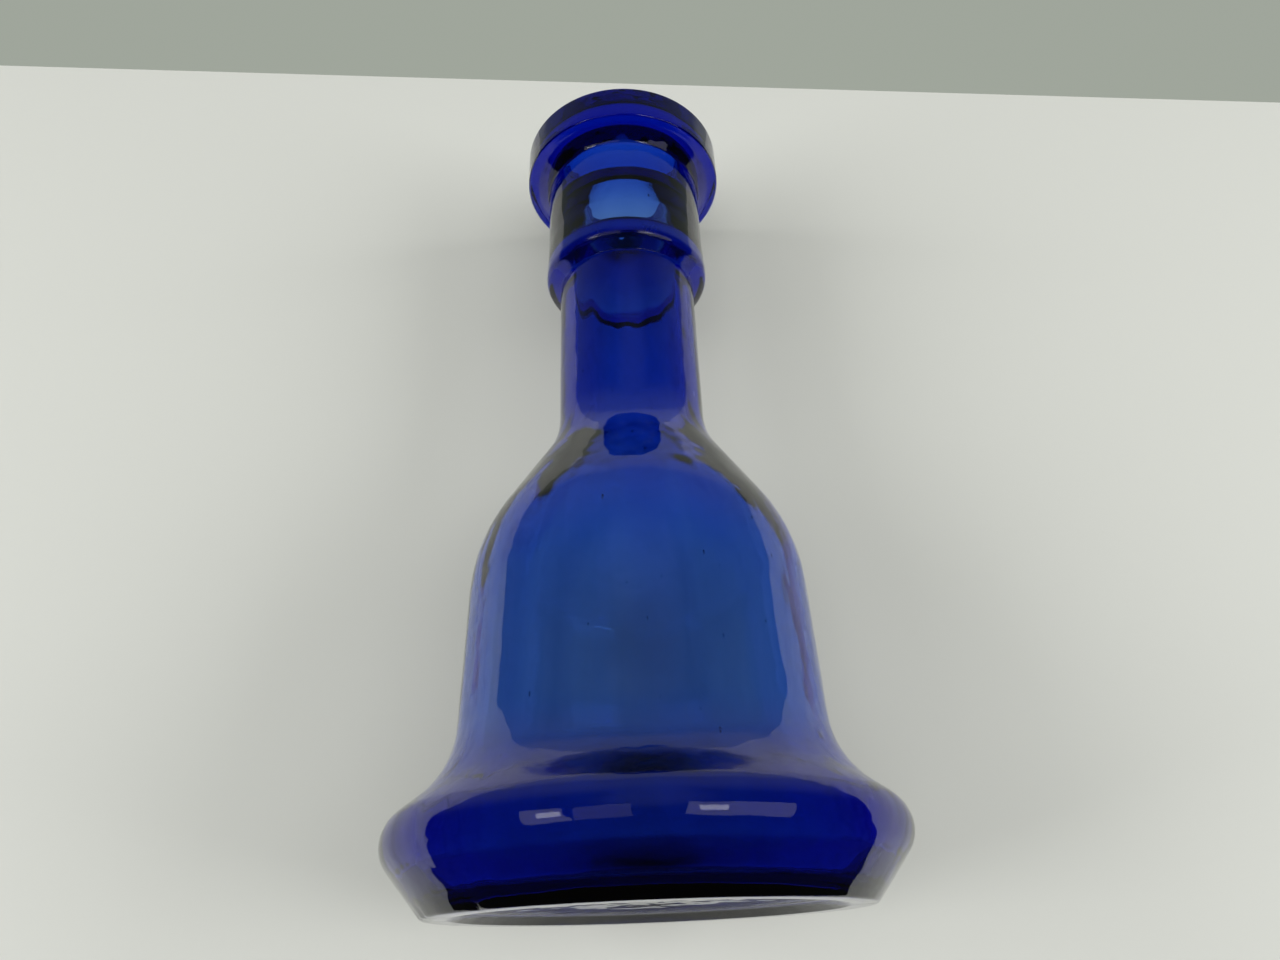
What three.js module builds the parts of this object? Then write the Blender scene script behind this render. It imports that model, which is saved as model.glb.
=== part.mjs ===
// A glass vase in the shape of a hand bell: the water bowl of a stem pipe, blown in one piece.
// Millimetres, +Z up along the vase's axis, origin at the centre of the ring it stands on.
import * as THREE from 'three';

// Facets around the axis, and how far a facet may cut inside a rounded corner of the outline.
const FACETS_AROUND = 56;
const FACET_DEPTH = 0.15;

// Heights above the surface that the vase stands on, where two stretches of the outside meet.
const HEIGHT = 270;
const SKIRT_HEIGHT = 18.5;
const WAIST_HEIGHT = 35.2;
const SHOULDER_HEIGHT = 101;
const NECK_FOOT_HEIGHT = 141.5;

// The lip is a flat disc; the collar below it ends in a bead that stands over the neck.
const LIP_THICKNESS = 14;
const COLLAR_LENGTH = 51;
const BEAD_LENGTH = 16;
const BEAD_UNDERCUT = 3.2;

// Outside radii, before the corners are rounded.
const BASE_RADIUS = 58.4;
const SKIRT_RADIUS = 73.6;
const SHOULDER_RADIUS = 50;
const BODY_TAPER = 2.4;
const NECK_RADIUS = 24;
const COLLAR_STEP = 4.4;
const BEAD_STEP = 0.7;
const LIP_STEP = 8.2;

// Roundings of the outside corners.
const BASE_ROUNDING = 1.6;
const SKIRT_ROUNDING = 9;
const WAIST_ROUNDING = 26;
const SHOULDER_ROUNDING = 52;
const NECK_FOOT_ROUNDING = 31;
const BEAD_ROUNDING = 4;
const COLLAR_ROUNDING = 14;
const LIP_ROOT_ROUNDING = 3;
const LIP_EDGE_ROUNDING = 0.9;

// The slope that carries the lip's flat underside down to the collar.
const LIP_ROOT_WIDTH = 4.8;
const LIP_ROOT_DROP = 5;

// Glass thickness, which is least where the blown bubble stretched most.
const FLOOR_THICKNESS = 4.5;
const SKIRT_WALL = 7;
const BODY_WALL = 2.5;
const NECK_WALL = 5.1;

// Inside the collar the mouth tapers to a throat, and a chamber opens out below the throat.
const MOUTH_WALL = 6.4;
const THROAT_WALL = 8.8;
const CHAMBER_TOP_WALL = 6.8;
const CHAMBER_FOOT_WALL = 3.4;
const MOUTH_DEPTH = 25.5;
const THROAT_FLARE_LENGTH = 8;
const CHAMBER_FOOT_SLOPE_LENGTH = 7.4;
const MOUTH_ROUNDING = 2.2;
const THROAT_ROUNDING = 5;
const CHAMBER_TOP_ROUNDING = 8;
const CHAMBER_FOOT_ROUNDING = 3;
const NECK_BORE_ROUNDING = 5;

// The hollow pushed up under the floor, inside the flat ring that the vase stands on.
const STANDING_RING_WIDTH = 6.5;
const RECESS_SLOPE_WIDTH = 4;
const RECESS_EDGE_DEPTH = 2.6;
const RECESS_CENTRE_DEPTH = 5;
const RECESS_ROUNDING = 6;
const RING_EDGE_ROUNDING = 0.8;

// Where the inside floor runs into the skirt.
const FLOOR_EDGE_HEIGHT = 5.2;
const FLOOR_CORNER_ROUNDING = 8;

const LIP_UNDERSIDE = HEIGHT - LIP_THICKNESS;
const NECK_TOP_HEIGHT = LIP_UNDERSIDE - COLLAR_LENGTH;
const COLLAR_RADIUS = NECK_RADIUS + COLLAR_STEP;

// The most of a straight stretch that the rounding at one of its ends may use up.
const ROUNDING_SHARE = 0.49;

// One corner of an outline: its radius and height, and how it is rounded.
function corner(radius, height, rounding = 0) {
  return { point: new THREE.Vector2(radius, height), rounding };
}

// The directions from a corner to its two neighbours, and half the angle between them.
function spreadOf(before, at, after) {
  const back = before.point.clone().sub(at.point).normalize();
  const ahead = after.point.clone().sub(at.point).normalize();
  return { back, ahead, halfAngle: Math.acos(back.dot(ahead)) / 2 };
}

// The points of the arc that rounds a corner.
function roundedCorner(before, at, after) {
  const { back, ahead, halfAngle } = spreadOf(before, at, after);
  const shorterSide = Math.min(
    before.point.distanceTo(at.point), after.point.distanceTo(at.point));
  const setback = Math.min(at.rounding / Math.tan(halfAngle), shorterSide * ROUNDING_SHARE);
  const radius = setback * Math.tan(halfAngle);

  const start = at.point.clone().addScaledVector(back, setback);
  const end = at.point.clone().addScaledVector(ahead, setback);
  const bisector = back.clone().add(ahead).normalize();
  const centre = at.point.clone().addScaledVector(bisector, Math.hypot(radius, setback));

  const arc = new THREE.EllipseCurve(
    centre.x, centre.y, radius, radius,
    start.sub(centre).angle(), end.sub(centre).angle(), back.cross(ahead) > 0);
  const widestStep = 2 * Math.acos(1 - Math.min(FACET_DEPTH / radius, 1));
  return arc.getPoints(Math.ceil((Math.PI - 2 * halfAngle) / widestStep));
}

// The points of an outline, with its corners rounded and its two ends kept.
function roundedOutline(corners) {
  const points = corners.map((at, index) => {
    const isEnd = index === 0 || index === corners.length - 1;
    if (isEnd || at.rounding === 0) return [at.point];
    return roundedCorner(corners[index - 1], at, corners[index + 1]);
  });
  return points.flat();
}

// The inner surface's corner behind an outer one: one wall further in, and rounded about the
// same centre. The outer corners run upwards, so the glass lies to their left.
function cornerBehind(before, at, after, wall) {
  const { back, ahead, halfAngle } = spreadOf(before, at, after);
  const along = ahead.clone().sub(back).normalize();
  const inward = new THREE.Vector2(-along.y, along.x);
  const point = at.point.clone().addScaledVector(inward, wall / Math.sin(halfAngle));
  const bulgesOutwards = back.cross(ahead) < 0;
  const rounding = at.rounding + (bulgesOutwards ? -wall : wall);
  return corner(point.x, point.y, Math.max(rounding, wall));
}

const ringInside = BASE_RADIUS - STANDING_RING_WIDTH;
const recessCorners = [
  corner(0, RECESS_CENTRE_DEPTH),
  corner(ringInside - RECESS_SLOPE_WIDTH, RECESS_EDGE_DEPTH, RECESS_ROUNDING),
  corner(ringInside, 0, RING_EDGE_ROUNDING),
];

const base = corner(BASE_RADIUS, 0, BASE_ROUNDING);
const skirt = corner(SKIRT_RADIUS, SKIRT_HEIGHT, SKIRT_ROUNDING);
const waist = corner(SHOULDER_RADIUS + BODY_TAPER, WAIST_HEIGHT, WAIST_ROUNDING);
const shoulder = corner(SHOULDER_RADIUS, SHOULDER_HEIGHT, SHOULDER_ROUNDING);
const neckFoot = corner(NECK_RADIUS, NECK_FOOT_HEIGHT, NECK_FOOT_ROUNDING);
const neckTop = corner(NECK_RADIUS, NECK_TOP_HEIGHT);

const collarCorners = [
  corner(COLLAR_RADIUS + BEAD_STEP, NECK_TOP_HEIGHT + BEAD_UNDERCUT, BEAD_ROUNDING),
  corner(COLLAR_RADIUS, NECK_TOP_HEIGHT + BEAD_UNDERCUT + BEAD_LENGTH, COLLAR_ROUNDING),
];
const lipCorners = [
  corner(COLLAR_RADIUS, LIP_UNDERSIDE - LIP_ROOT_DROP, LIP_ROOT_ROUNDING),
  corner(COLLAR_RADIUS + LIP_ROOT_WIDTH, LIP_UNDERSIDE, LIP_ROOT_ROUNDING),
  corner(COLLAR_RADIUS + LIP_STEP, LIP_UNDERSIDE, LIP_EDGE_ROUNDING),
  corner(COLLAR_RADIUS + LIP_STEP, HEIGHT, LIP_EDGE_ROUNDING),
];

// The mouth, the throat and the chamber, down to the neck's bore. The bore starts level with
// the bead's widest ring.
const throatHeight = HEIGHT - MOUTH_DEPTH;
const neckBoreTop = NECK_TOP_HEIGHT + BEAD_UNDERCUT;
const mouthCorners = [
  corner(COLLAR_RADIUS - MOUTH_WALL, HEIGHT, MOUTH_ROUNDING),
  corner(COLLAR_RADIUS - THROAT_WALL, throatHeight, THROAT_ROUNDING),
  corner(COLLAR_RADIUS - CHAMBER_TOP_WALL, throatHeight - THROAT_FLARE_LENGTH, CHAMBER_TOP_ROUNDING),
  corner(
    COLLAR_RADIUS - CHAMBER_FOOT_WALL, neckBoreTop + CHAMBER_FOOT_SLOPE_LENGTH,
    CHAMBER_FOOT_ROUNDING),
  corner(NECK_RADIUS - NECK_WALL, neckBoreTop, NECK_BORE_ROUNDING),
];

// The inside from the neck down to the floor, which the skirt's inner slope runs into.
function insideCorners() {
  const skirtBehind = cornerBehind(base, skirt, waist, SKIRT_WALL);
  const skirtSlope = (SKIRT_RADIUS - BASE_RADIUS) / SKIRT_HEIGHT;
  const cornerRise = skirtBehind.point.y - FLOOR_EDGE_HEIGHT;
  const floorRadius = skirtBehind.point.x - cornerRise * skirtSlope;
  return [
    cornerBehind(shoulder, neckFoot, neckTop, NECK_WALL),
    cornerBehind(waist, shoulder, neckFoot, BODY_WALL),
    cornerBehind(skirt, waist, shoulder, BODY_WALL),
    skirtBehind,
    corner(floorRadius, FLOOR_EDGE_HEIGHT, FLOOR_CORNER_ROUNDING),
    corner(0, RECESS_CENTRE_DEPTH + FLOOR_THICKNESS),
  ];
}

function glassVase() {
  const outline = roundedOutline([
    ...recessCorners,
    base, skirt, waist, shoulder, neckFoot, neckTop,
    ...collarCorners,
    ...lipCorners,
    ...mouthCorners,
    ...insideCorners(),
  ]);
  const geometry = new THREE.LatheGeometry(outline, FACETS_AROUND);
  geometry.rotateX(Math.PI / 2);
  const cobaltGlass = new THREE.MeshStandardMaterial({
    color: 0x1a2fa8,
    roughness: 0.04,
    metalness: 0,
    transparent: true,
    opacity: 0.55,
  });
  const vase = new THREE.Mesh(geometry, cobaltGlass);
  vase.name = 'glass_vase';
  return vase;
}

const part = new THREE.Group();
part.add(glassVase());

export default part;
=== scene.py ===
import math

import bmesh
import bpy
import numpy as np
from mathutils import Matrix, Vector


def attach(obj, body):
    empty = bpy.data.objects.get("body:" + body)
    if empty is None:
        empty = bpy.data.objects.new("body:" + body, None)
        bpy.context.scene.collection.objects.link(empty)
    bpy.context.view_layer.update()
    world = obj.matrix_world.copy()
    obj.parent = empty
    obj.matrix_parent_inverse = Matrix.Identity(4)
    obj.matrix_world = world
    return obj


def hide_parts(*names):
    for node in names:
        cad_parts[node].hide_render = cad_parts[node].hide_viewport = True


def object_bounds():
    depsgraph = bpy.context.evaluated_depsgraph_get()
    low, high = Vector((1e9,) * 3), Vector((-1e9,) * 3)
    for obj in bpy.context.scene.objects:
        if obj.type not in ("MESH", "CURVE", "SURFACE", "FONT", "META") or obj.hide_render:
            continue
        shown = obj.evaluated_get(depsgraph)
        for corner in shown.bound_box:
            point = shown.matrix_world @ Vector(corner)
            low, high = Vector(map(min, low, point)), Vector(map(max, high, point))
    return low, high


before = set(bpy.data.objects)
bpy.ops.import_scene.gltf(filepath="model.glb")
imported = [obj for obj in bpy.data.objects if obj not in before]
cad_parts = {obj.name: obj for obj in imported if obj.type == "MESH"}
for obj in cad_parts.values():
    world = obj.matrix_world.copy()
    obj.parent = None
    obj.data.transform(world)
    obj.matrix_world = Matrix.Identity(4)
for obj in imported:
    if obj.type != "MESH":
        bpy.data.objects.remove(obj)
cad_low, cad_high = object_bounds()

# Metres in a millimetre: the glass is drawn in millimetres, the stage in metres.
MM = 0.001

# ---------------------------------------------------------------------------
# The glass, in millimetres, with the sizes of the frame's solid. Only the height is read from the frame.

HEIGHT = cad_high.z / MM
SKIRT_HEIGHT = 18.5
WAIST_HEIGHT = 35.2
SHOULDER_HEIGHT = 101
NECK_FOOT_HEIGHT = 141.5
LIP_THICKNESS = 14
COLLAR_LENGTH = 51
BEAD_LENGTH = 16
BEAD_UNDERCUT = 3.2

BASE_RADIUS = 58.4
SKIRT_RADIUS = 73.6
SHOULDER_RADIUS = 50
BODY_TAPER = 2.4
NECK_RADIUS = 24
COLLAR_STEP = 4.4
BEAD_STEP = 0.7
LIP_STEP = 8.2
LIP_ROOT_WIDTH = 4.8
LIP_ROOT_DROP = 5

STANDING_RING_WIDTH = 6.5
RECESS_SLOPE_WIDTH = 4
RECESS_EDGE_DEPTH = 2.6
RECESS_CENTRE_DEPTH = 5
FLOOR_THICKNESS = 4.5
FLOOR_EDGE_HEIGHT = 5.2

SKIRT_WALL = 7
BODY_WALL = 2.5
NECK_WALL = 5.1
MOUTH_RADIUS = 22.0
THROAT_RADIUS = 19.6
CHAMBER_TOP_RADIUS = 21.6
CHAMBER_FOOT_RADIUS = 25.0
MOUTH_DEPTH = 25.5
THROAT_FLARE_LENGTH = 8
CHAMBER_FOOT_SLOPE_LENGTH = 7.4

COLLAR_RADIUS = NECK_RADIUS + COLLAR_STEP
LIP_RADIUS = COLLAR_RADIUS + LIP_STEP
LIP_UNDERSIDE = HEIGHT - LIP_THICKNESS
NECK_TOP = LIP_UNDERSIDE - COLLAR_LENGTH
BORE_FOOT = NECK_TOP + BEAD_UNDERCUT

# How finely the outline and its turns are divided.
AROUND = 240
ARC_STEP = math.radians(5.5)
LONGEST_STEP = 3
ROUNDING_SHARE = 0.49

# Where the two halves of the mould met, as angles around the axis, and the ridge that they left.
SEAMS = (math.radians(-8), math.radians(172))
SEAM_HEIGHT = 0.07
SEAM_HALF_WIDTH = 0.7

# Shallow flutes on the inner surface: depth, number around the axis, and turn in radians.
FLUTES = [(0.10, 7, 0.6), (0.07, 11, 2.1), (0.05, 17, 4.0)]

# Chips in the base's outer edge: angle around the axis in degrees, half width, depth and rise.
CHIPS = [
    (230, 1.9, 0.9, 2.6),
    (187, 2.4, 0.6, 1.8),
    (196, 1.5, 0.5, 1.6),
    (204, 1.7, 0.4, 1.4),
    (350, 1.6, 0.5, 1.5),
    (74, 2.2, 0.7, 2.0),
    (121, 1.6, 0.4, 1.5),
]

# Rubbed places on the bead: angle around the axis in degrees, height, half width and half height.
RUBBED = [(251, 210, 7, 6), (288, 210, 8, 6), (110, 209, 10, 5)]

# How worn the standing ring is, where the worn band starts, and how high it reaches.
RING_WEAR = 0.35
RING_WEAR_RADIUS = 54
RING_WEAR_RISE = 0.25

SEED_COUNT = 90
SEED_RISE = (26, 246)
SEED_SIZE = (0.14, 0.32)
SEED_STRETCH = (1.4, 3.4)
SEED_DEPTH = (0.9, 1.6)


def spread(before, at, after):
    """The directions from a corner to its neighbours, and half the angle between them."""
    back = (Vector(before[:2]) - Vector(at[:2])).normalized()
    ahead = (Vector(after[:2]) - Vector(at[:2])).normalized()
    return back, ahead, math.acos(max(-1, min(1, back.dot(ahead)))) / 2


def rounded(before, at, after):
    """Points of the arc that rounds a corner, whose third number is the rounding."""
    back, ahead, half = spread(before, at, after)
    corner = Vector(at[:2])
    side = min((Vector(before[:2]) - corner).length, (Vector(after[:2]) - corner).length)
    setback = min(at[2] / math.tan(half), side * ROUNDING_SHARE)
    radius = setback * math.tan(half)
    centre = corner + (back + ahead).normalized() * math.hypot(radius, setback)
    first = corner + back * setback - centre
    last = corner + ahead * setback - centre
    start = math.atan2(first.y, first.x)
    turn = (math.atan2(last.y, last.x) - start + math.pi) % (2 * math.pi) - math.pi
    steps = max(2, math.ceil(abs(turn) / ARC_STEP))
    angles = [start + turn * i / steps for i in range(steps + 1)]
    return [(centre.x + radius * math.cos(a), centre.y + radius * math.sin(a)) for a in angles]


def behind(before, at, after, wall):
    """The inner corner that keeps a wall's thickness on both sides of an outer corner."""
    back, ahead, half = spread(before, at, after)
    along = (ahead - back).normalized()
    inward = Vector((-along.y, along.x))
    point = Vector(at[:2]) + inward * (wall / math.sin(half))
    bulges = back.x * ahead.y - back.y * ahead.x < 0
    return (point.x, point.y, max(at[2] + (-wall if bulges else wall), wall))


def outside_corners():
    """Radius, height and rounding of each outer corner, from the recess up to the rim."""
    ring_inner_radius = BASE_RADIUS - STANDING_RING_WIDTH
    return [
        (0, RECESS_CENTRE_DEPTH, 0),
        (ring_inner_radius - RECESS_SLOPE_WIDTH, RECESS_EDGE_DEPTH, 6),
        (ring_inner_radius, 0, 0.8),
        (BASE_RADIUS, 0, 1.6),
        (SKIRT_RADIUS, SKIRT_HEIGHT, 9),
        (SHOULDER_RADIUS + BODY_TAPER, WAIST_HEIGHT, 26),
        (SHOULDER_RADIUS, SHOULDER_HEIGHT, 52),
        (NECK_RADIUS, NECK_FOOT_HEIGHT, 31),
        (NECK_RADIUS, NECK_TOP, 0.5),
        (COLLAR_RADIUS + BEAD_STEP, BORE_FOOT, 4),
        (COLLAR_RADIUS, BORE_FOOT + BEAD_LENGTH, 14),
        (COLLAR_RADIUS, LIP_UNDERSIDE - LIP_ROOT_DROP, 3),
        (COLLAR_RADIUS + LIP_ROOT_WIDTH, LIP_UNDERSIDE, 3),
        (LIP_RADIUS, LIP_UNDERSIDE, 0.9),
        (LIP_RADIUS, HEIGHT, 0.9),
    ]


def inside_corners(outside):
    """Radius, height and rounding of each inner corner, from the mouth down to the floor."""
    base, skirt, waist, shoulder, neck_foot, neck_top = outside[3:9]
    skirt_behind = behind(base, skirt, waist, SKIRT_WALL)
    flare = (SKIRT_RADIUS - BASE_RADIUS) / SKIRT_HEIGHT
    floor_radius = skirt_behind[0] - (skirt_behind[1] - FLOOR_EDGE_HEIGHT) * flare
    return [
        (MOUTH_RADIUS, HEIGHT, 2.2),
        (THROAT_RADIUS, HEIGHT - MOUTH_DEPTH, 5),
        (CHAMBER_TOP_RADIUS, HEIGHT - MOUTH_DEPTH - THROAT_FLARE_LENGTH, 8),
        (CHAMBER_FOOT_RADIUS, BORE_FOOT + CHAMBER_FOOT_SLOPE_LENGTH, 3),
        (NECK_RADIUS - NECK_WALL, BORE_FOOT, 5),
        behind(shoulder, neck_foot, neck_top, NECK_WALL),
        behind(waist, shoulder, neck_foot, BODY_WALL),
        behind(skirt, waist, shoulder, BODY_WALL),
        skirt_behind,
        (floor_radius, FLOOR_EDGE_HEIGHT, 8),
        (0, RECESS_CENTRE_DEPTH + FLOOR_THICKNESS, 0),
    ]


def outline():
    """The section from the recess's centre over the lip to the floor's centre, and what of it is inside."""
    outside = outside_corners()
    corners = outside + inside_corners(outside)
    points, inner = [], []
    for index, at in enumerate(corners):
        if index in (0, len(corners) - 1):
            arc = [at[:2]]
        else:
            arc = rounded(corners[index - 1], at, corners[index + 1])
        if points:
            start, end = points[-1], arc[0]
            steps = math.ceil(math.dist(start, end) / LONGEST_STEP)
            for k in range(1, steps):
                x = start[0] + (end[0] - start[0]) * k / steps
                y = start[1] + (end[1] - start[1]) * k / steps
                points.append((x, y))
                inner.append(index >= len(outside) + 1)
        points.extend(arc)
        inner.extend([index >= len(outside)] * len(arc))
    return np.array(points), np.array(inner)


def turn_between(angles, angle):
    """How far each angle lies from one angle, either way round."""
    return np.abs((angles - angle + math.pi) % (2 * math.pi) - math.pi)


def fade(value, start, length):
    """0 up to start, then rising to 1 over length, which may be negative."""
    return np.clip((value - start) / length, 0, 1)


def inside_waves(angles, rise):
    """What the flutes add to the inner radius: most in the body, and nothing at the floor and the rim."""
    wave = sum(depth * np.cos(count * angles + turn) for depth, count, turn in FLUTES)
    body = 1 + 0.9 * fade(rise, 30, 20) * fade(rise, 130, -20)
    return wave * body * fade(rise, 12, 20) * fade(rise, 250, -60)


def outside_marks(angles, radius, rise):
    """What the mould's seams add to the outer radius and the chips take off it, and how worn it is."""
    added = np.zeros_like(radius)
    for seam in SEAMS:
        across = turn_between(angles, seam) * radius
        added += SEAM_HEIGHT * np.exp(-(across / SEAM_HALF_WIDTH) ** 2) * fade(rise, 0, 4)
    wear = np.where((rise < RING_WEAR_RISE) & (radius > RING_WEAR_RADIUS), RING_WEAR, 0.0)
    for degrees, half_width, depth, chip_rise in CHIPS:
        across = turn_between(angles, math.radians(degrees)) * radius / half_width
        share = np.clip(1 - across ** 2 - (rise / chip_rise) ** 2, 0, 1) * (radius > 56)
        added -= depth * share
        wear = np.maximum(wear, np.clip(share * 3, 0, 1))
    for degrees, middle, half_width, half_height in RUBBED:
        across = turn_between(angles, math.radians(degrees)) * radius / half_width
        share = np.clip(1 - across ** 2 - ((rise - middle) / half_height) ** 2, 0, 1)
        wear = np.maximum(wear, share)
    return added, wear


def seed_bubbles(profile, is_inner):
    """Small bubbles in the wall, drawn out upwards, as closed surfaces that face their own middles."""
    rng = np.random.default_rng(7)
    outer = profile[(~is_inner) & (profile[:, 1] > 24) & (profile[:, 1] < 250)]
    ball = bmesh.new()
    bmesh.ops.create_icosphere(ball, subdivisions=1, radius=1)
    shape = np.array([v.co[:] for v in ball.verts])
    sides = [tuple(v.index for v in reversed(f.verts)) for f in ball.faces]
    ball.free()
    verts, faces = [], []
    for _ in range(SEED_COUNT):
        rise = rng.uniform(*SEED_RISE)
        angle = rng.uniform(0, 2 * math.pi)
        size = rng.uniform(*SEED_SIZE)
        stretch = rng.uniform(*SEED_STRETCH)
        radius = np.interp(rise, outer[:, 1], outer[:, 0]) - rng.uniform(*SEED_DEPTH)
        first = len(verts) * len(shape)
        place = np.array([radius * math.cos(angle), radius * math.sin(angle), rise])
        verts.append(shape * size * np.array([1, 1, stretch]) + place)
        faces.extend(tuple(first + i for i in side) for side in sides)
    return np.concatenate(verts), faces


def turned_faces(rows):
    """Faces of the turned surface: a band between each two rows, and a fan at each end of the section."""
    bottom_centre = rows * AROUND
    floor_centre = bottom_centre + 1
    faces = []
    for a in range(AROUND):
        b = (a + 1) % AROUND
        for r in range(rows - 1):
            low, high = r * AROUND, (r + 1) * AROUND
            faces.append((low + a, low + b, high + b, high + a))
        last_row = (rows - 1) * AROUND
        faces.append((bottom_centre, b, a))
        faces.append((floor_centre, last_row + a, last_row + b))
    return faces


def make_vase():
    """The whole glass as one closed surface, with its bubbles, and an attribute for where it is worn."""
    profile, is_inner = outline()
    rows = len(profile) - 2
    angles = (np.arange(AROUND) * 2 * math.pi / AROUND)[None, :]
    radius = np.repeat(profile[1:-1, 0][:, None], AROUND, 1)
    rise = np.repeat(profile[1:-1, 1][:, None], AROUND, 1)
    inner = is_inner[1:-1][:, None]
    marks, wear = outside_marks(angles, radius, rise)
    radius = radius + np.where(inner, inside_waves(angles, rise), marks)
    wear = np.where(inner, 0, wear)
    turned = np.stack([radius * np.cos(angles), radius * np.sin(angles), rise], -1).reshape(-1, 3)
    centres = [[0, 0, profile[0, 1]], [0, 0, profile[-1, 1]]]
    seeds, seed_faces = seed_bubbles(profile, is_inner)
    faces = turned_faces(rows)
    first_seed = len(turned) + len(centres)
    faces.extend(tuple(first_seed + i for i in side) for side in seed_faces)
    verts = np.concatenate([turned, centres, seeds]) * MM
    wear = np.concatenate([wear.ravel(), np.zeros(len(centres) + len(seeds))])

    mesh = bpy.data.meshes.new("bell_vase_glass")
    mesh.from_pydata(verts.tolist(), [], faces)
    mesh.attributes.new("wear", "FLOAT", "POINT").data.foreach_set("value", wear)
    mesh.polygons.foreach_set("use_smooth", [True] * len(mesh.polygons))
    obj = bpy.data.objects.new("bell_vase_glass", mesh)
    bpy.context.scene.collection.objects.link(obj)
    return obj


# ---------------------------------------------------------------------------
# Materials

GLASS_IOR = 1.52
# The colour that is left, and the density in 1/m, of the cobalt glass.
GLASS_COLOUR = (0.12, 0.475, 0.905, 1)
GLASS_DENSITY = 600
FILM_TINT = (0.86, 0.9, 0.93, 1)
FILM_ROUGHNESS = 0.02
STREAK_ROUGHNESS = 0.06
WORN_ROUGHNESS = 0.12
GRIT_ROUGHNESS = 0.2
UNEVENNESS = 0.00045
TABLE_COLOUR = (0.66, 0.67, 0.62)
FLOOR_COLOUR = (0.62, 0.62, 0.6)
TABLE_ROUGHNESS = 0.45


def new_material(name):
    material = bpy.data.materials.new(name)
    material.use_nodes = True
    tree = material.node_tree
    tree.nodes.clear()
    return material, tree


def noise_between(tree, coordinates, scale, detail, low, high):
    """A noise pattern, as 0 where it is under low and 1 where it is over high."""
    noise = tree.nodes.new("ShaderNodeTexNoise")
    noise.inputs["Scale"].default_value = scale
    noise.inputs["Detail"].default_value = detail
    noise.inputs["Roughness"].default_value = 0.6
    tree.links.new(coordinates, noise.inputs["Vector"])
    ramp = tree.nodes.new("ShaderNodeMapRange")
    ramp.interpolation_type = "SMOOTHSTEP"
    ramp.inputs["From Min"].default_value = low
    ramp.inputs["From Max"].default_value = high
    tree.links.new(noise.outputs["Fac"], ramp.inputs["Value"])
    return ramp.outputs["Result"]


def math_node(tree, operation, first, second):
    """A sum or a product, of sockets or numbers."""
    node = tree.nodes.new("ShaderNodeMath")
    node.operation = operation
    for socket, value in zip(node.inputs, (first, second)):
        if isinstance(value, (int, float)):
            socket.default_value = value
        else:
            tree.links.new(value, socket)
    return node.outputs[0]


def scaled_sum(tree, socket, factor, extra):
    """socket * factor + extra"""
    return math_node(tree, "ADD", math_node(tree, "MULTIPLY", socket, factor), extra)


def stretched(tree, coordinates, scales):
    """Coordinates scaled by a different number each way."""
    mapping = tree.nodes.new("ShaderNodeMapping")
    mapping.inputs["Scale"].default_value = scales
    tree.links.new(coordinates, mapping.inputs["Vector"])
    return mapping.outputs["Vector"]


def film_tint(tree, where, smears):
    """White, and slightly dimmed where the glass is smeared or was wiped in upright bands."""
    bands = noise_between(tree, stretched(tree, where, (95, 95, 7)), 1, 2, 0.42, 0.66)
    half_smears = math_node(tree, "MULTIPLY", smears, 0.5)
    half_bands = math_node(tree, "MULTIPLY", bands, 0.5)
    tint = tree.nodes.new("ShaderNodeMix")
    tint.data_type = "RGBA"
    tree.links.new(math_node(tree, "ADD", half_smears, half_bands), tint.inputs["Factor"])
    tint.inputs["A"].default_value = (1, 1, 1, 1)
    tint.inputs["B"].default_value = FILM_TINT
    return tint.outputs["Result"]


def film_roughness(tree, where, smears):
    """Smooth when clean, a little rough under smears and fine wiped streaks, and frosted where it is worn."""
    streaks = noise_between(tree, stretched(tree, where, (900, 900, 60)), 1, 4, 0.55, 0.8)
    grit = noise_between(tree, where, 1400, 3, 0.3, 0.7)
    wear = tree.nodes.new("ShaderNodeAttribute")
    wear.attribute_name = "wear"
    film = math_node(tree, "MULTIPLY", smears, scaled_sum(tree, streaks, STREAK_ROUGHNESS, FILM_ROUGHNESS))
    frosting = scaled_sum(tree, grit, GRIT_ROUGHNESS, WORN_ROUGHNESS)
    frosted = math_node(tree, "MULTIPLY", wear.outputs["Fac"], frosting)
    return math_node(tree, "ADD", film, frosted)


def uneven_surface(tree, where):
    """Normals of a surface that ripples gently, as glass does that was blown into a mould."""
    ripple = tree.nodes.new("ShaderNodeTexNoise")
    ripple.inputs["Scale"].default_value = 1
    ripple.inputs["Detail"].default_value = 2
    tree.links.new(stretched(tree, where, (70, 70, 40)), ripple.inputs["Vector"])
    bump = tree.nodes.new("ShaderNodeBump")
    bump.inputs["Strength"].default_value = 1
    bump.inputs["Distance"].default_value = UNEVENNESS
    tree.links.new(ripple.outputs["Fac"], bump.inputs["Height"])
    return bump.outputs["Normal"]


def cobalt_glass():
    """Clear blue glass, coloured by its thickness, with smears, wiped streaks and worn places."""
    material, tree = new_material("cobalt_glass")
    out = tree.nodes.new("ShaderNodeOutputMaterial")
    bsdf = tree.nodes.new("ShaderNodeBsdfPrincipled")
    bsdf.inputs["IOR"].default_value = GLASS_IOR
    bsdf.inputs["Transmission Weight"].default_value = 1
    where = tree.nodes.new("ShaderNodeTexCoord").outputs["Object"]
    smears = noise_between(tree, where, 34, 5, 0.5, 0.74)
    tree.links.new(film_roughness(tree, where, smears), bsdf.inputs["Roughness"])
    tree.links.new(film_tint(tree, where, smears), bsdf.inputs["Base Color"])
    tree.links.new(uneven_surface(tree, where), bsdf.inputs["Normal"])
    volume = tree.nodes.new("ShaderNodeVolumeAbsorption")
    volume.inputs["Color"].default_value = GLASS_COLOUR
    volume.inputs["Density"].default_value = GLASS_DENSITY
    tree.links.new(bsdf.outputs[0], out.inputs["Surface"])
    tree.links.new(volume.outputs[0], out.inputs["Volume"])
    return material


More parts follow.
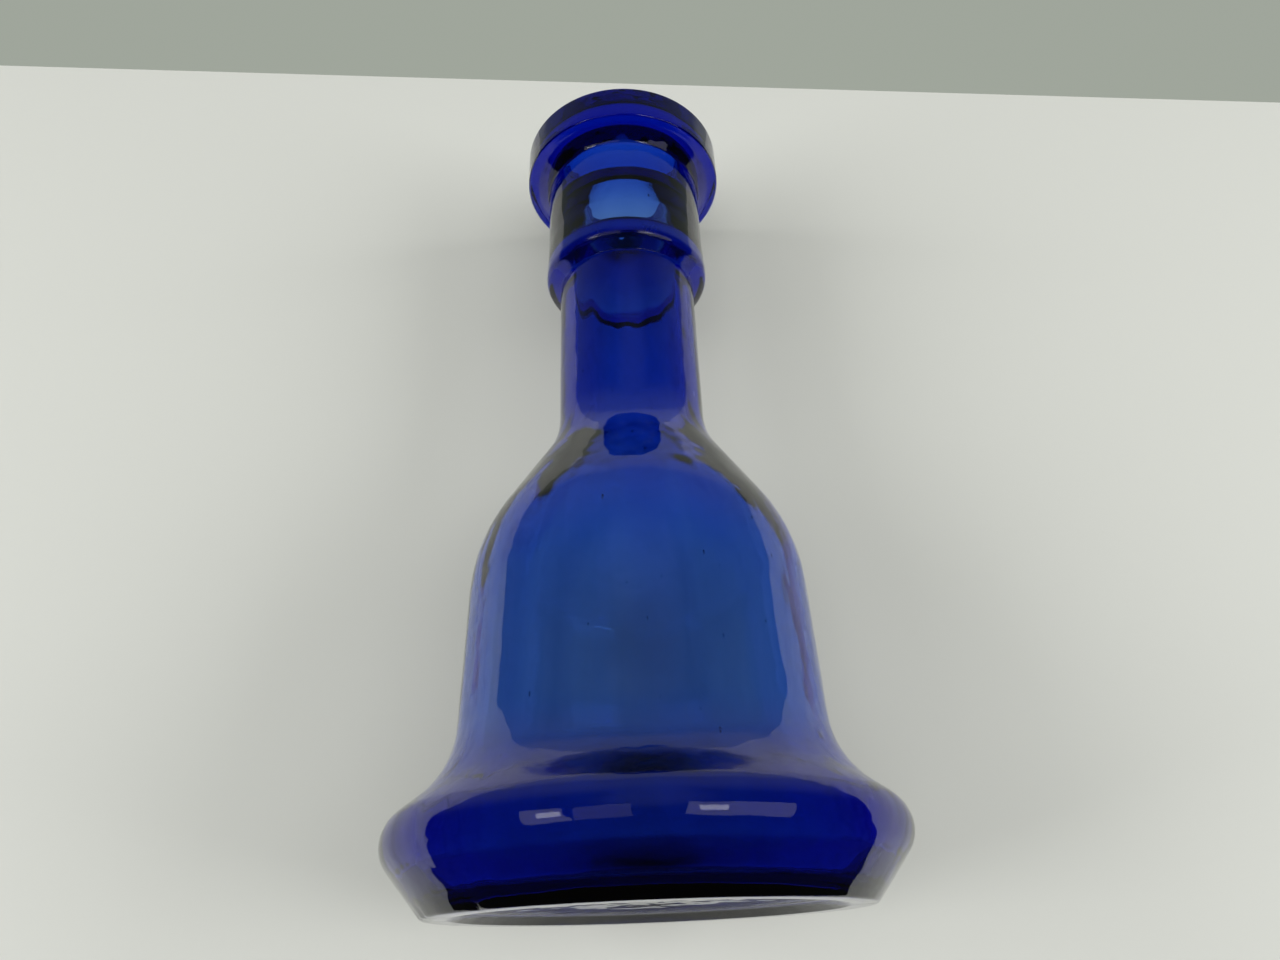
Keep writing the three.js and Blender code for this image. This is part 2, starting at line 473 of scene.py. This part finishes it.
def one_sided(name, color):
    """A matt surface that shows only its front."""
    material, tree = new_material(name)
    out = tree.nodes.new("ShaderNodeOutputMaterial")
    bsdf = tree.nodes.new("ShaderNodeBsdfPrincipled")
    bsdf.inputs["Base Color"].default_value = (*color, 1)
    bsdf.inputs["Roughness"].default_value = TABLE_ROUGHNESS
    clear = tree.nodes.new("ShaderNodeBsdfTransparent")
    mix = tree.nodes.new("ShaderNodeMixShader")
    geometry = tree.nodes.new("ShaderNodeNewGeometry")
    tree.links.new(geometry.outputs["Backfacing"], mix.inputs[0])
    tree.links.new(bsdf.outputs[0], mix.inputs[1])
    tree.links.new(clear.outputs[0], mix.inputs[2])
    tree.links.new(mix.outputs[0], out.inputs["Surface"])
    return material


# ---------------------------------------------------------------------------
# Stage, in metres: the vase stands on a floor, and a pale table leans against its skirt and lip from behind.

SKIRT_TOUCH = Vector((0, cad_high.y, 0.017))
LIP_TOUCH = Vector((0, LIP_RADIUS * MM, cad_high.z))
TABLE_UP = (LIP_TOUCH - SKIRT_TOUCH).normalized()
TABLE_HALF_WIDTH = 0.6
TABLE_EDGE_HEIGHT = 0.351
TABLE_EDGE_TURN = math.radians(-4.6)
# How far the table reaches below the skirt's touch, at its left and right ends.
TABLE_BELOW = (0.16, 0.10)
FLOOR_HALF_WIDTH = 2.5
FLOOR_GAP = 0.0005

CAMERA_PLACE = (0, -0.2625, -0.012)
CAMERA_YAW = math.radians(0.44)
CAMERA_PITCH = math.radians(28.04)
CAMERA_ROLL = math.radians(-2.32)
CAMERA_LENS = 25.7
SENSOR_WIDTH = 36

# The room: direction, the glow's full and outer half-angles in degrees, and colour.
GLOWS = [
    ((0, 0, 1), 179, 180, (0.02, 0.02, 0.02)),
    ((0, 0.55, 0.83), 38, 46, (0.16, 0.16, 0.13)),
    ((0, 0.3, 0.95), 42, 75, (0.17, 0.2, 0.18)),
    ((0.06, -0.92, 0.38), 4, 30, (0.1, 0.12, 0.115)),
]

# Windows that the glass reflects: name, place, size and power.
WINDOWS = [
    ("window_left", (-1.01, -1.24, -0.2), (0.45, 0.9), 1.0),
    ("window_middle", (-0.47, -1.53, -0.2), (0.68, 0.9), 0.6),
    ("window_right", (1.0, -1.25, -0.2), (1.26, 0.9), 2.6),
    ("sun_patch_left", (-0.98, -1.26, -0.13), (0.3, 0.3), 0.9),
    ("sun_patch_right", (0.73, -1.43, -0.13), (0.34, 0.32), 1.1),
]
WINDOW_TARGET = (0, 0, 0.05)

# Soft boxes that light the table and show in no reflection: name, place, size and power.
SOFT_BOXES = [
    ("soft_box_left", (-1.4, -0.75, 0), (1.0, 1.0), 19),
    ("soft_box_right", (1.4, -0.75, 0), (1.0, 1.0), 18),
    ("soft_box_front", (0, -1.6, -0.3), (1.2, 1.0), 7),
]
SOFT_BOX_TARGET = (0, 0, 0.1)


def quad(name, corners, material):
    mesh = bpy.data.meshes.new(name)
    mesh.from_pydata([tuple(c) for c in corners], [], [(0, 1, 2, 3)])
    mesh.materials.append(material)
    obj = bpy.data.objects.new(name, mesh)
    bpy.context.scene.collection.objects.link(obj)
    return obj


def make_table():
    centre = SKIRT_TOUCH + TABLE_UP * (TABLE_EDGE_HEIGHT - SKIRT_TOUCH.z) / TABLE_UP.z
    across = Vector((1, 0, 0)) * math.cos(TABLE_EDGE_TURN) + TABLE_UP * math.sin(TABLE_EDGE_TURN)
    far_left = centre - across * TABLE_HALF_WIDTH
    far_right = centre + across * TABLE_HALF_WIDTH
    near_left = Vector((-TABLE_HALF_WIDTH, 0, 0)) + SKIRT_TOUCH - TABLE_UP * TABLE_BELOW[0]
    near_right = Vector((TABLE_HALF_WIDTH, 0, 0)) + SKIRT_TOUCH - TABLE_UP * TABLE_BELOW[1]
    corners = [near_left, near_right, far_right, far_left]
    return quad("table", corners, one_sided("pale_laminate", TABLE_COLOUR))


def make_floor():
    """A floor that shows from above, and through the glass, but in no reflection."""
    s = FLOOR_HALF_WIDTH
    corners = [(-s, -s, 0), (s, -s, 0), (s, s, 0), (-s, s, 0)]
    floor = quad("floor", corners, one_sided("pale_floor", FLOOR_COLOUR))
    floor.visible_diffuse = False
    floor.visible_glossy = False
    floor.visible_shadow = False
    floor.location.z = -FLOOR_GAP
    return floor


def make_camera():
    data = bpy.data.cameras.new("camera")
    data.sensor_width = SENSOR_WIDTH
    data.lens = CAMERA_LENS
    data.clip_start = 0.01
    camera = bpy.data.objects.new("camera", data)
    level = Vector((math.sin(CAMERA_YAW), math.cos(CAMERA_YAW), 0))
    forward = level * math.cos(CAMERA_PITCH) + Vector((0, 0, math.sin(CAMERA_PITCH)))
    level_right = Vector((math.cos(CAMERA_YAW), -math.sin(CAMERA_YAW), 0))
    level_up = level_right.cross(forward)
    right = level_right * math.cos(CAMERA_ROLL) + level_up * math.sin(CAMERA_ROLL)
    up = level_up * math.cos(CAMERA_ROLL) - level_right * math.sin(CAMERA_ROLL)
    rotation = Matrix((right, up, -forward)).transposed()
    camera.matrix_world = Matrix.Translation(CAMERA_PLACE) @ rotation.to_4x4()
    bpy.context.scene.collection.objects.link(camera)
    bpy.context.scene.camera = camera


def area_light(name, place, target, size, power):
    data = bpy.data.lights.new(name, "AREA")
    data.shape = "RECTANGLE"
    data.size, data.size_y = size
    data.energy = power
    light = bpy.data.objects.new(name, data)
    light.location = place
    light.rotation_euler = (Vector(target) - Vector(place)).to_track_quat("-Z", "Y").to_euler()
    bpy.context.scene.collection.objects.link(light)
    return light


def make_lights():
    for name, place, size, power in WINDOWS:
        area_light(name, place, WINDOW_TARGET, size, power)
    for name, place, size, power in SOFT_BOXES:
        soft_box = area_light(name, place, SOFT_BOX_TARGET, size, power)
        soft_box.visible_glossy = False
        soft_box.visible_transmission = False


def glow(tree, where, direction, full, outer, color):
    """Light of one colour from around one direction, which fades out between two half-angles."""
    dot = tree.nodes.new("ShaderNodeVectorMath")
    dot.operation = "DOT_PRODUCT"
    tree.links.new(where, dot.inputs[0])
    dot.inputs[1].default_value = Vector(direction).normalized()
    ramp = tree.nodes.new("ShaderNodeMapRange")
    ramp.interpolation_type = "SMOOTHSTEP"
    ramp.inputs["From Min"].default_value = math.cos(math.radians(outer))
    ramp.inputs["From Max"].default_value = math.cos(math.radians(full))
    tree.links.new(dot.outputs["Value"], ramp.inputs["Value"])
    tint = tree.nodes.new("ShaderNodeVectorMath")
    tint.operation = "SCALE"
    tint.inputs[0].default_value = color
    tree.links.new(ramp.outputs[0], tint.inputs["Scale"])
    return tint.outputs[0]


def make_world():
    """A dim room: soft glows on a dark surround, and a grey-green wall beyond the table."""
    world = bpy.data.worlds.new("room")
    world.use_nodes = True
    tree = world.node_tree
    background = tree.nodes["Background"]
    background.inputs["Strength"].default_value = 1.0
    bpy.context.scene.world = world
    where = tree.nodes.new("ShaderNodeTexCoord").outputs["Generated"]
    total = None
    for direction, full, outer, color in GLOWS:
        light = glow(tree, where, direction, full, outer, color)
        if total is not None:
            add = tree.nodes.new("ShaderNodeVectorMath")
            add.operation = "ADD"
            tree.links.new(total, add.inputs[0])
            tree.links.new(light, add.inputs[1])
            light = add.outputs[0]
        total = light
    tree.links.new(total, background.inputs["Color"])


def set_light_paths():
    """Enough bounces for light that crosses several walls of glass."""
    scene = bpy.context.scene
    scene.view_settings.view_transform = "Standard"
    scene.cycles.max_bounces = 24
    scene.cycles.transmission_bounces = 20
    scene.cycles.glossy_bounces = 12
    scene.cycles.diffuse_bounces = 4
    scene.cycles.transparent_max_bounces = 12
    scene.cycles.caustics_refractive = True
    scene.cycles.caustics_reflective = True


glass = cobalt_glass()
vase = make_vase()
vase.data.materials.append(glass)
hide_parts("glass_vase")
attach(vase, "root")

make_table()
make_floor()
make_camera()
make_world()
make_lights()
set_light_paths()
